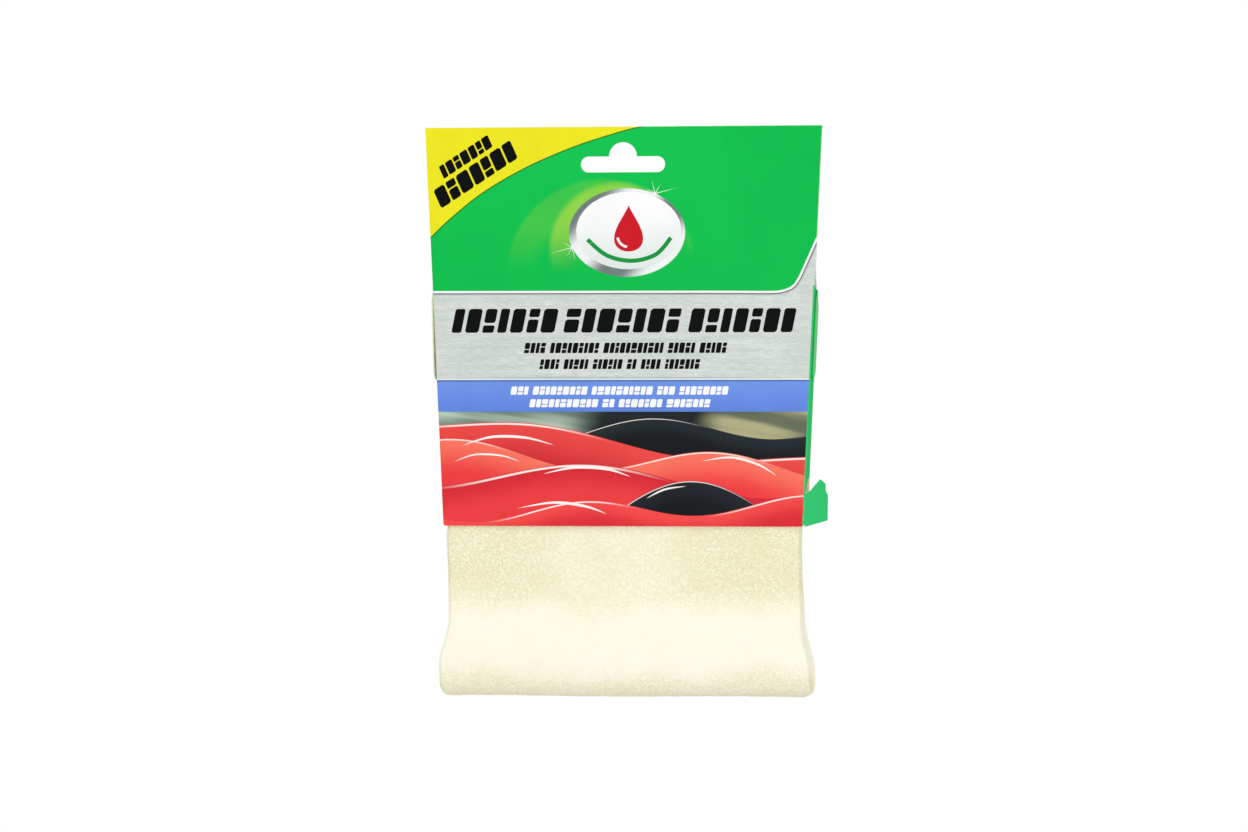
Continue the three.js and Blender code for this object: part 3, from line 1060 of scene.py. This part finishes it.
def backZones():
    left, top, right, foot = back["panel"]
    r = back["panelCorner"]
    corners = ((right - r, top - r), (left + r, top - r), (left + r, foot + r), (right - r, foot + r))
    panel = []
    for turn, (x, z) in enumerate(corners):
        panel += arcLoop(x, z, r, 90 * turn, 90 * turn + 90, 6)
    zones = [("paleInk", panel)]
    for x in back["icons"]:
        zones.append(("greenInk", arcLoop(x, back["iconZ"], back["iconRadius"], 0, 360, 40)[:-1]))
        zones.append(("whiteInk", droplet(x, back["iconZ"] + 0.3, *back["iconDrop"])))
    for row in range(back["rows"]):
        # uneven line ends, and a short last line in every four
        length = back["rowLength"] - back["rowUneven"] * ((row * 0.382) % 1)
        length -= back["lastRowShort"] if row % 4 == 3 else 0.0
        start = (back["rowStart"], back["rowTop"] - row * back["rowPitch"])
        words = back["rowWords"][row % 3]
        line = inkBlocks(start, length, back["rowHeight"], words, 0.0, back["rowGap"], back["rowWordGap"])
        zones += [("greyInk", loop) for loop in line]
    return [(finish, [(-x, alongBack(z)) for x, z in loop]) for finish, loop in zones]


def sideZones():
    # the sides get a paler green, painted light for the light that their faces catch, and the left one is
    # bare where its flap lies over it
    top, foot, reach = card["gussetTop"] - 0.2, mouthZ - 0.5, card["sleeveDepth"] + card["glueFlapWidth"]
    zones = []
    for side, start in ((-1, front["leftWrap"]), (1, -front["rightMargin"])):
        corners = ((top, start), (foot, start), (foot, reach), (top, reach))
        zones.append(("sideInk", [(side * (halfWidthAt(z) + out), z) for z, out in corners]))
    patch = [onSide(back, z) for z, back in barePatch]
    return zones + [("boardInside", [(-across, z) for across, z in patch])]


# Cutting the sleeve

def slotLoop(grow):
    end = card["slotEndRadius"] + grow
    hump = card["slotHumpRadius"] + grow
    middle = -card["slotHumpRadius"] - card["slotEndRadius"]
    lift = math.degrees(math.asin(grow / hump))
    half = card["slotHalfBand"]
    return (arcLoop(half, middle, end, -90, 90, 12)
            + arcLoop(0, -card["slotHumpRadius"], hump, lift, 180 - lift, 24)
            + arcLoop(-half, middle, end, 90, 270, 12))


def gussetOutline():
    # from the foot of the gusset round the glue flap to its top, on the right of the blank
    frontFoot, foot, top = card["gussetFrontFoot"], card["gussetFoot"], card["glueFlapTop"]
    frontTop, backTop, chamfer = card["gussetTop"], card["gussetBackTop"], card["glueFlapChamfer"]
    stepStart, stepZ, stepEnd = card["gussetStep"]
    seamStart = gussetDepth - creaseRadius
    seamEnd = seamStart + creaseArc
    flapEnd = seamEnd + card["glueFlapWidth"] - creaseRadius
    return [
        atEdge(frontFoot), atEdge(frontFoot, 0.45), onSide(stepStart, stepZ), onSide(stepEnd, foot),
        onSide(seamStart, foot), onSide(seamEnd, foot), onSide(flapEnd, foot, chamfer),
        onSide(flapEnd, top, -chamfer), onSide(seamEnd, top), onSide(seamStart, top),
        onSide(seamStart, backTop), onSide(creaseRadius, frontTop, -0.4), atEdge(frontTop),
    ]


def flapOutline():
    # the flap of the back, from its upper crease corner round to its lower one
    top, foot, end = flaps["creaseTop"], flaps["creaseFoot"], flaps["foot"]
    peakReach, peakZ = flaps["peak"]
    frontReach, frontZ = flaps["frontTop"]
    rounding = curveInto(flaps["frontFoot"], (flaps["frontFoot"][0], end[1]), end, 8)
    spots = [(1.0, top, 0.4), (peakReach - 0.6, peakZ, -0.35), (peakReach + 0.5, peakZ, -0.1),
             (frontReach - 0.5, frontZ, 0.3), (frontReach, frontZ, -0.5), *rounding, (1.0, foot, -0.6)]
    return [atEdge(top), *[onSide(*spot, out=board) for spot in spots], atEdge(foot)]


def flapCreases():
    ends = (flaps["creaseTop"] - 0.4, flaps["creaseFoot"])
    return [[atEdge(z, board - creaseRadius + arc) for z in ends]
            for arc in spread(0, creaseArc, card["creaseSteps"])]


def cornerCurve():
    # the rounded lower corner of the front, as steps from the foot to the side
    r = card["cornerRadius"]
    foot, side = halfWidthAt(mouthZ), halfWidthAt(mouthZ + r)
    return curveInto((foot - r, mouthZ), (foot, mouthZ), (side, mouthZ + r), 12)


def bendLines():
    # where the blank bends from front to back: over the top and at both ends of the shoulder
    lines = spread(foldCentreZ, headerStart, 10)
    for n in (3, 5):
        lines += spread(stretchStarts[n], stretchStarts[n + 1], 4)
    return lines


def sleeveSide(hasFlap):
    # the right edge of the blank, from the foot of the front to the foot of the back
    cut, tabFoot, tabTop = tabs["takeOver"], tabs["footZ"], tabs["creaseTopZ"]
    edge = [point for point in cornerCurve() if point[0] < halfWidthAt(point[1]) - cut]
    edge += [(halfWidthAt(tabFoot + 0.05) - cut, tabFoot), atEdge(tabTop, -cut), atEdge(tabTop)]
    edge += gussetOutline() + [(halfWidthAt(onStrip(along)[1]), along) for along in bendLines()]
    top, foot, inset = flaps["creaseTop"], flaps["creaseFoot"], flaps["takeOver"]
    notch = [atEdge(top), atEdge(top, -inset), atEdge(foot, -inset), atEdge(foot)]
    edge += [(across, alongBack(z)) for across, z in (flapOutline() if hasFlap else notch)]
    return edge + [(halfWidthAt(mouthZ), stripEnd)]


def sleeveLines():
    # crease lines, so that each bend is round
    lines = []
    for along in bendLines():
        half = halfWidthAt(onStrip(along)[1])
        lines.append([(across, along) for across in spread(-half, half, 24)])
    onFront = spread(card["gussetTop"] - 0.5, card["gussetFrontFoot"] + 0.05, 14)
    onBack = (card["glueFlapTop"] - 0.1, card["gussetFoot"])
    for side in (-1, 1):
        for arc in spread(0, creaseArc, card["creaseSteps"]):
            crease = [atEdge(z, arc - creaseRadius) for z in onFront]
            seam = [onSide(gussetDepth - creaseRadius + arc, z) for z in onBack]
            lines += [[(side * across, z) for across, z in line] for line in (crease, seam)]
    return lines + [[(across, alongBack(z)) for across, z in line] for line in flapCreases()]


def buildSleeve():
    right, left = sleeveSide(True), sleeveSide(False)
    shape = {
        "outline": right + [(-across, along) for across, along in reversed(left)],
        "holes": [slotLoop(0), [(x, alongHeader(z)) for x, z in slotLoop(0)]],
        "zones": frontZones() + backZones() + sideZones(),
        "lines": sleeveLines(),
        "step": card["gridStep"],
        "base": "greenInk",
        "inkedEdge": lambda across, along: abs(across) > halfWidthAt(onStrip(along)[1]) + 0.6,
    }
    return cutBoard("card_sleeve", shape, placeCard, board)


sleeve = buildSleeve()
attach(sleeve, "sleeve")
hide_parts("front_panel", "top_fold", "back_header_panel", "back_shoulder_panel", "back_panel",
            "left_gusset", "right_gusset", "left_glue_flap", "right_glue_flap", "right_side_flap")
print("sleeve cut and folded:", len(sleeve.data.polygons), "faces")


# The left flap and both lock tabs

def buildLeftFlap():
    corners = [atEdge(flaps[end], -flaps["takeOver"]) for end in ("creaseFoot", "creaseTop")]
    shape = {"outline": corners + flapOutline(), "lines": flapCreases(), "step": 2.0, "base": "greenInk"}

    def place(across, z, depth):
        return placeBack(-1, across, z, depth, True)

    return cutBoard("left_side_flap_board", shape, place, board)


def roundCorners(points, radius):
    rounded = []
    for i, corner in enumerate(points):
        corner, ends = Vector(corner), []
        for other in (Vector(points[i - 1]), Vector(points[(i + 1) % len(points)])):
            ends.append(corner + (other - corner).normalized() * min(radius, (other - corner).length * 0.4))
        rounded += curveInto(ends[0], corner, ends[1], 4)
    return rounded


def buildTab(name, side, fold):
    cut, top, foot = board - tabs["takeOver"], tabs["creaseTopZ"], tabs["creaseFootZ"]
    arc = board * fold
    corner = [(across - halfWidthAt(z) + board, z) for across, z in cornerCurve() if z < foot - 0.2]
    points = [(arc + far, tabs["topZ"] - down * tabs["height"]) for far, down in tabs["outline"]]
    end = board + (front["leftWrap"] if side < 0 else -front["rightMargin"])
    shape = {
        "outline": [(cut, tabs["footZ"]), *[point for point in corner if cut < point[0]], (board, foot),
                    (board + 0.05, foot - 0.5), *roundCorners(points, 0.4), (board, top), (cut, top)],
        "zones": [("pictureInk", [(-2.0, -126), (end, -126), (end, -145), (-2.0, -145)])],
        "lines": [[(past, top - 0.05), (past, foot - 0.6)] for past in spread(0.0, arc, 8)],
        "step": 1.5,
        # the tab's paler side green is painted light
        "base": "sideInk",
    }

    def place(past, z, depth):
        return placeTab(side, fold, past, z, depth)

    return cutBoard(name, shape, place, board)


def blendAcross(piece, body, pivot, direction, before, after):
    pivot, direction = Vector(pivot), Vector(direction).normalized()
    start, end = pivot - direction * before, pivot + direction * after
    tuple(start * mm)
    tuple(end * mm)
    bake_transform(piece)


leftFlap = buildLeftFlap()
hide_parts("left_side_flap")
flapPivot = (-halfWidthAt(flaps["pivotZ"]), backY, flaps["pivotZ"])
blendAcross(leftFlap, "left_flap", flapPivot, (-1.0, -1.0, -sideSlope), *flaps["blendReach"])

for side, name, fold in ((-1, "left", tabs["leftFold"]), (1, "right", tabs["rightFold"])):
    tab = buildTab(name + "_lock_tab_board", side, fold)
    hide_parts(name + "_lock_tab")
    pivot = (side * (halfWidthAt(tabs["pivotZ"]) - board), frontY + board, tabs["pivotZ"])
    half = fold / 2
    direction = (side * math.cos(half), math.sin(half), -sideSlope * math.cos(half))
    blendAcross(tab, name + "_tab", pivot, direction, *tabs["blendReach"])
print("left flap and both lock tabs made")


# Glue

def buildHeaderGlue():
    inset, thickness = card["glueInset"], card["glueThickness"]
    top, foot = foldCentreZ - inset, -card["shoulderStart"] + inset + 1.0
    corners = ((-1, foot), (1, foot), (1, top), (-1, top))
    shape = {
        "outline": [(side * (halfWidthAt(z) - inset), z) for side, z in corners],
        "holes": [slotLoop(2.0)],
        "step": 5.0,
        "base": "dryGlue",
        "inside": "dryGlue",
        "edge": "dryGlue",
    }

    def place(x, z, depth):
        return Vector((x, -thickness / 2 + depth + bowAt(x, z), z))

    return cutBoard("header_glue_film", shape, place, thickness)


headerGlue = buildHeaderGlue()
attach(headerGlue, "sleeve")
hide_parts("header_glue")
for name in ("left_seam_glue", "right_seam_glue"):
    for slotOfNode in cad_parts[name].material_slots:
        slotOfNode.material = materials["dryGlue"]
print("glue made")


# The leather: folded in three across, then twice in half

leather = {
    "topZ": -66.0,
    "footZ": -208.0,
    "neckZ": -160.0,
    "bulgeZ": -195.0,
    "nearY": frontY + board + 0.3,
    "farY": backY - 2 * board - card["glueThickness"] - 0.3,
    "foldGap": 0.4,
    "bulgeThickness": 24.0,
    "tightBand": 2.375,
    "bulgeBand": 4.1,
    "tightPly": 0.74,
    "bulgePly": 1.0,
    "halfWidth": 66.8,
    "leftEdge": [(-136.0, 0.0), (-143.4, 0.05), (-146.2, 0.6), (-150.0, 0.5), (-158.0, 0.15),
                 (-165.0, -0.1), (-172.0, -0.35), (-179.0, -0.6), (-183.4, -0.13), (-187.1, 0.6),
                 (-190.9, 1.8), (-194.6, 2.6), (-198.4, 2.5), (-208.5, 2.6)],
    "rightEdge": [(-136.0, -0.2), (-145.0, -0.2), (-150.0, -0.35), (-158.0, -0.25), (-165.0, -0.1),
                  (-172.0, 0.3), (-180.0, 0.5), (-183.4, 0.9), (-187.1, 1.5), (-190.9, 2.4),
                  (-194.6, 3.5), (-198.4, 3.85), (-208.5, 4.3)],
    "leftCorner": 2.2,
    "rightCorner": 3.2,
    "freeEdgeSetback": 1.5,
    "spacing": 0.9,
    "innerSpacing": 3.0,
    "hiddenSpacing": 12.0,
    "denseTop": -141.0,
    "sway": 0.55,
    "swayHeights": (-146.0, -158.0),
    "footWave": 0.45,
    "footWaveHeights": (-180.0, -206.0),
    "footRoundness": 0.62,
    "napRelief": 0.11,
    "napHeights": (-144.5, -148.0),
    "flat": (0.405, 0.56),  # metres, as it was cut
}
packThickness = leather["farY"] - leather["nearY"]
packCentreY = (leather["farY"] + leather["nearY"]) / 2
sideEdges = [curveThrough(leather[name], 6) for name in ("leftEdge", "rightEdge")]


def swellAt(z):
    return smooth(-leather["neckZ"], -leather["bulgeZ"], -z)


def bandAt(z):
    return lerp(leather["tightBand"], leather["bulgeBand"], swellAt(z))


def layerOffset(z, layer):
    packHalf = lerp(packThickness, leather["bulgeThickness"], swellAt(z)) / 2
    return packHalf - bandAt(z) / 2 - layer * (bandAt(z) + leather["foldGap"])


def beyondSide(z, edge):
    # how far the hide's side stands out at this height
    for (startZ, start), (endZ, end) in zip(edge, edge[1:]):
        if z >= endZ:
            return lerp(start, end, min(max((startZ - z) / (startZ - endZ), 0.0), 1.0))
    return edge[-1][1]


def roundFoot(x, z):
    # how far the corner beside the very foot draws in
    radius = leather["leftCorner"] if x < 0 else leather["rightCorner"]
    share = min(max(1 - (z - leather["footZ"]) / radius, 0.0), 1.0)
    return x * (1 - radius * (1 - math.sqrt(1 - share * share)) / leather["halfWidth"])


def layerLine(backTop, frontTop, layer, spacing):
    # down the back, round the foot and up the front, as Y and Z
    dense, bulge = leather["denseTop"], leather["bulgeZ"]

    def leg(topZ, side):
        heights = spread(topZ, dense, int((topZ - dense) / leather["hiddenSpacing"]))[:-1]
        heights += spread(dense, bulge, int((dense - bulge) / spacing))[:-1]
        return [(side * layerOffset(z, layer), z) for z in heights]

    across = layerOffset(bulge, layer)
    down = bulge - leather["footZ"] - leather["bulgeBand"] / 2
    down -= layer * (leather["bulgeBand"] + leather["foldGap"])
    foot = []
    for angle in spread(0, math.pi, int(math.pi * (across + down) / 2 / spacing)):
        flat = abs(math.cos(angle)) ** leather["footRoundness"]
        foot.append((across * math.copysign(flat, math.cos(angle)),
                     bulge - down * math.sin(angle) ** leather["footRoundness"]))
    return leg(backTop, 1) + foot + leg(frontTop, -1)[::-1]


def leatherLine():
    # the outer layer, over the top of the front, and the inner layer
    pitch = leather["tightBand"] + leather["foldGap"]
    foldZ = leather["topZ"] - (pitch + leather["tightBand"]) / 2
    foldY = -(layerOffset(foldZ, 0) + layerOffset(foldZ, 1)) / 2
    outer = layerLine(leather["topZ"], foldZ, 0, leather["spacing"])
    inner = layerLine(leather["topZ"], foldZ, 1, leather["innerSpacing"])[::-1]
    return outer + arcLoop(foldY, foldZ, pitch / 2, 180, 0, 12)[1:-1] + inner


def plySection(halfWidth, band, ply, leftEdge, rightEdge):
    # the three plies of the band, as one closed line: across, and outwards from the band's middle
    bend = (band - ply) / 4
    turnX = halfWidth - bend - ply / 2
    wide = int(2 * leather["halfWidth"] / leather["spacing"])

    def run(start, end, out, count):
        return [(x, out) for x in spread(start, end, count)[:-1]]

    def turn(x, out, radius, start, end, count):
        return arcLoop(x, out, radius, start, end, count)[:-1]

    line = (run(leftEdge, turnX, band / 2, wide)
            + turn(turnX, bend, bend + ply / 2, 90, -90, 10)
            + run(turnX, -turnX, -ply / 2, 12)
            + turn(-turnX, -bend, bend - ply / 2, 90, 270, 6)
            + run(-turnX, rightEdge, ply - band / 2, 12)
            + turn(rightEdge, (ply - band) / 2, ply / 2, 90, -90, 5)
            + run(rightEdge, -turnX, -band / 2, 12)
            + turn(-turnX, -bend, bend + ply / 2, 270, 90, 10)
            + run(-turnX, turnX, ply / 2, 12)
            + turn(turnX, bend, bend - ply / 2, -90, 90, 6)
            + run(turnX, leftEdge, band / 2 - ply, 12)
            + turn(leftEdge, (band - ply) / 2, ply / 2, 270, 90, 5))
    return line, wide


def napAt(x, y, z):
    spot = Vector((x, y, z))
    return noise.noise(spot / 3.1) + 0.7 * noise.noise(spot / 1.7 + Vector((7, 3, 1)))


def buildLeather():
    line, vertices = leatherLine(), []
    for (pathY, pathZ), (alongY, alongZ) in zip(line, headings(line)):
        leftOut, rightOut = (beyondSide(pathZ, edge) for edge in sideEdges)
        half = leather["halfWidth"] + (leftOut + rightOut) / 2
        shift = (rightOut - leftOut) / 2
        ply = lerp(leather["tightPly"], leather["bulgePly"], swellAt(pathZ))
        setback = leather["freeEdgeSetback"] + 0.5 * waveAt(pathZ / 14, pathY / 20, 2.5)
        section, wide = plySection(half, bandAt(pathZ), ply, -half + setback, half - setback - 0.3)
        showing = smooth(*leather["swayHeights"], pathZ)
        atFoot = smooth(*leather["footWaveHeights"], pathZ)
        napped = smooth(*leather["napHeights"], pathZ)
        for k, (x, out) in enumerate(section):
            if k <= wide and napped:
                out += leather["napRelief"] * napAt(x, pathZ, alongY * 30) * napped
            y = pathY - alongZ * out + leather["sway"] * showing * waveAt(x / 42, pathZ / 34, 5.3)
            z = pathZ + alongY * out + leather["footWave"] * atFoot * waveAt(x / 30, 3.3, 8.1)
            vertices.append(Vector((roundFoot(x + shift, z), packCentreY + y, z)) * mm)
    ring = len(section)
    faces = []
    for i in range(len(line) - 1):
        for k in range(ring):
            a, b = i * ring + k, i * ring + (k + 1) % ring
            faces.append((a, a + ring, b + ring, b))
    faces.append(tuple(range(ring)))
    faces.append(tuple(range((len(line) - 1) * ring, len(line) * ring))[::-1])
    return makeMesh("chamois_hide", vertices, faces, [0] * len(faces), ["chamoisSkin"], 60)


hide = buildLeather()
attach(hide, "leather")
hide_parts("chamois_leather")
print("leather folded:", len(hide.data.polygons), "faces")


# Floor, light and camera, with their lengths in metres

studio = {
    "floorZ": -0.42,
    "floorRadius": 0.9,
    "floorColour": (0.8, 0.8, 0.8),
    "floorLift": 0.5,
    "ambient": 0.8,
    # place, size and power of each softbox
    "lamps": {
        "key_softbox": ((-0.3, -1.35, 1.25), (1.3, 1.0), 4.4),
        "fill_softbox": ((0.45, -1.2, -0.32), (1.3, 0.3), 3.3),
    },
    "aim": (0.0004, 0.0, -0.1027),
    "cameraAzimuth": 8.0,
    "cameraDistance": 2.2,
    "lens": 169.2,
}


def isSeen(tree):
    # camera, mirror and see-through rays find plain white
    path = {socket.name: Field(socket) for socket in addNode(tree, "LightPath").outputs}
    seen = compute("ADD", path["Is Camera Ray"], path["Is Glossy Ray"], clamp=True)
    return compute("ADD", seen, path["Is Transmission Ray"], clamp=True)


def makeWorld():
    world = bpy.data.worlds.new("studioWorld")
    bpy.context.scene.world = world
    world.use_nodes = True
    background = world.node_tree.nodes["Background"].inputs
    background["Color"].default_value = (1, 1, 1, 1)
    feed(background["Strength"], isSeen(world.node_tree) * (1 - studio["ambient"]) + studio["ambient"])


def makeFloor():
    # a pale cloth that fades out towards its rim
    material = emptyMaterial("studioFloor")
    tree, size = material.node_tree, studio["floorRadius"]

    def layer(kind, inputs=()):
        return Field(addNode(tree, kind, inputs).outputs[0])

    cloth = layer("BsdfDiffuse", {"Color": (*studio["floorColour"], 1)})
    glow = layer("Emission", {"Strength": isSeen(tree) * studio["floorLift"]})
    place = Field(addNode(tree, "TexCoord").outputs["Object"])
    away = fieldFrom("VectorMath", (place,), output="Value", operation="LENGTH")
    lit = layer("AddShader", (cloth, glow))
    mixed = layer("MixShader", (ramped(away, size, size * 0.6), layer("BsdfTransparent"), lit))
    addNode(tree, "OutputMaterial", (mixed,))
    mesh = bpy.data.meshes.new("studio_floor")
    corners = [(x * size, y * size, 0) for x, y in ((-1, -1), (1, -1), (1, 1), (-1, 1))]
    mesh.from_pydata(corners, [], [(0, 1, 2, 3)])
    mesh.materials.append(material)
    floor = addObject("studio_floor", mesh)
    floor.location = (0, 0, studio["floorZ"])


def makeLamp(name, place, size, power):
    lamp = bpy.data.lights.new(name, "AREA")
    lamp.shape = "RECTANGLE"
    lamp.size, lamp.size_y = size
    lamp.energy = power
    holder = addObject(name, lamp)
    holder.location = place
    holder.rotation_euler = (Vector(studio["aim"]) - Vector(place)).to_track_quat("-Z", "Y").to_euler()
    holder.visible_camera = False


def makeCamera():
    camera = bpy.data.cameras.new("camera")
    camera.lens = studio["lens"]
    camera.sensor_width = 36.0
    camera.clip_start = 0.05
    azimuth = math.radians(studio["cameraAzimuth"])
    outwards = Vector((math.sin(azimuth), -math.cos(azimuth), 0))
    holder = addObject("camera", camera)
    holder.location = Vector(studio["aim"]) + outwards * studio["cameraDistance"]
    holder.rotation_euler = (-outwards).to_track_quat("-Z", "Y").to_euler()
    bpy.context.scene.camera = holder


makeWorld()
makeFloor()
for name, settings in studio["lamps"].items():
    makeLamp(name, *settings)
makeCamera()
bpy.context.scene.view_settings.view_transform = "Standard"
print("studio set up")
